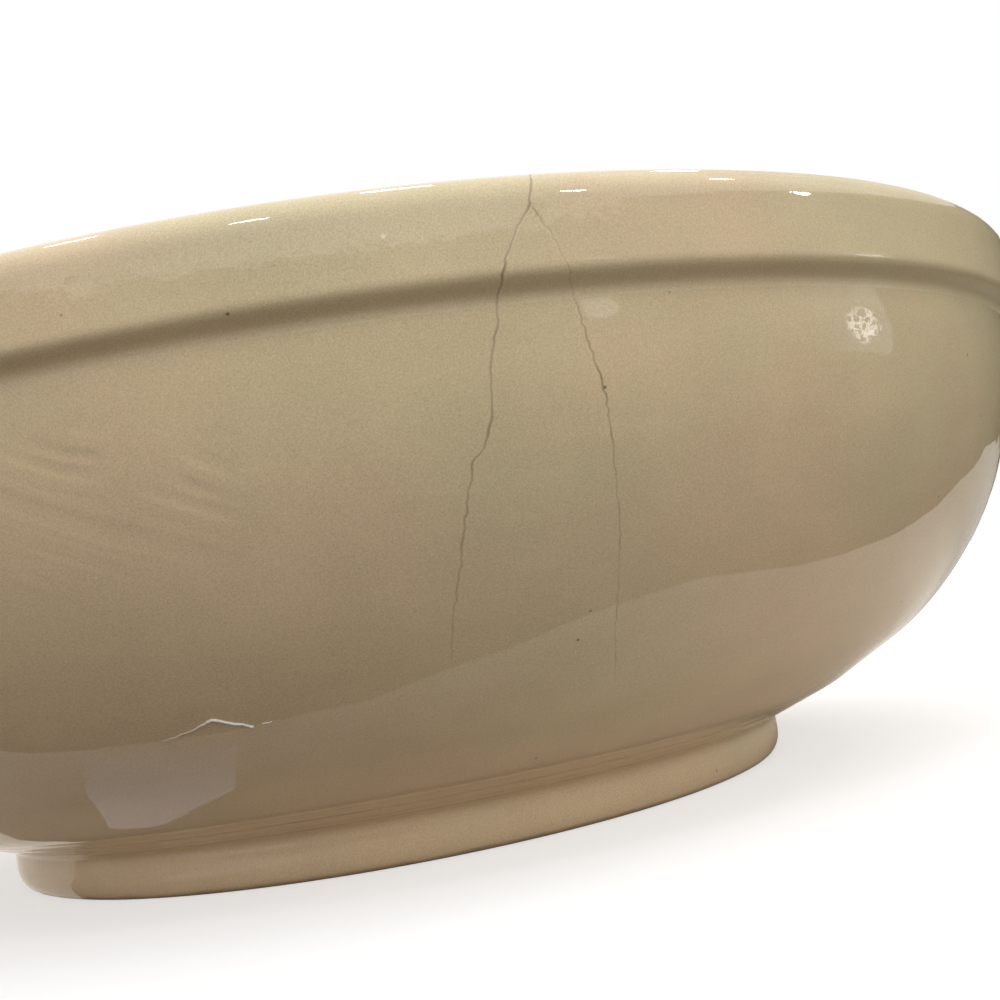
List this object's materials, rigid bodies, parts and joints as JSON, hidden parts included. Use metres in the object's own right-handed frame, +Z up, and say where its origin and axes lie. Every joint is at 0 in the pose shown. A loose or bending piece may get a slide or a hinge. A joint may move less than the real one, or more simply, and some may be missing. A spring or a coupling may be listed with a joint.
{
  "type": "cracked bowl",
  "caption": "Wide, low glazed bowl on a foot ring, with a rolled collar at the rim and a forked hairline crack over the lip and down the wall.",
  "frame": {"origin": "centre of the circle that the foot ring stands on, on the table", "axes": "+Z up along the bowl's axis of turning; the fork of the crack faces -Y, a little towards +X"},
  "size_m": [0.3, 0.3, 0.0964],
  "materials": {
    "cream_glaze": "glossy cream to beige glaze, faintly mottled, with dark hairline cracks and a few pinholes"
  },
  "bodies": {
    "root": {"bowl": "cream_glaze"}
  },
  "joints": []
}
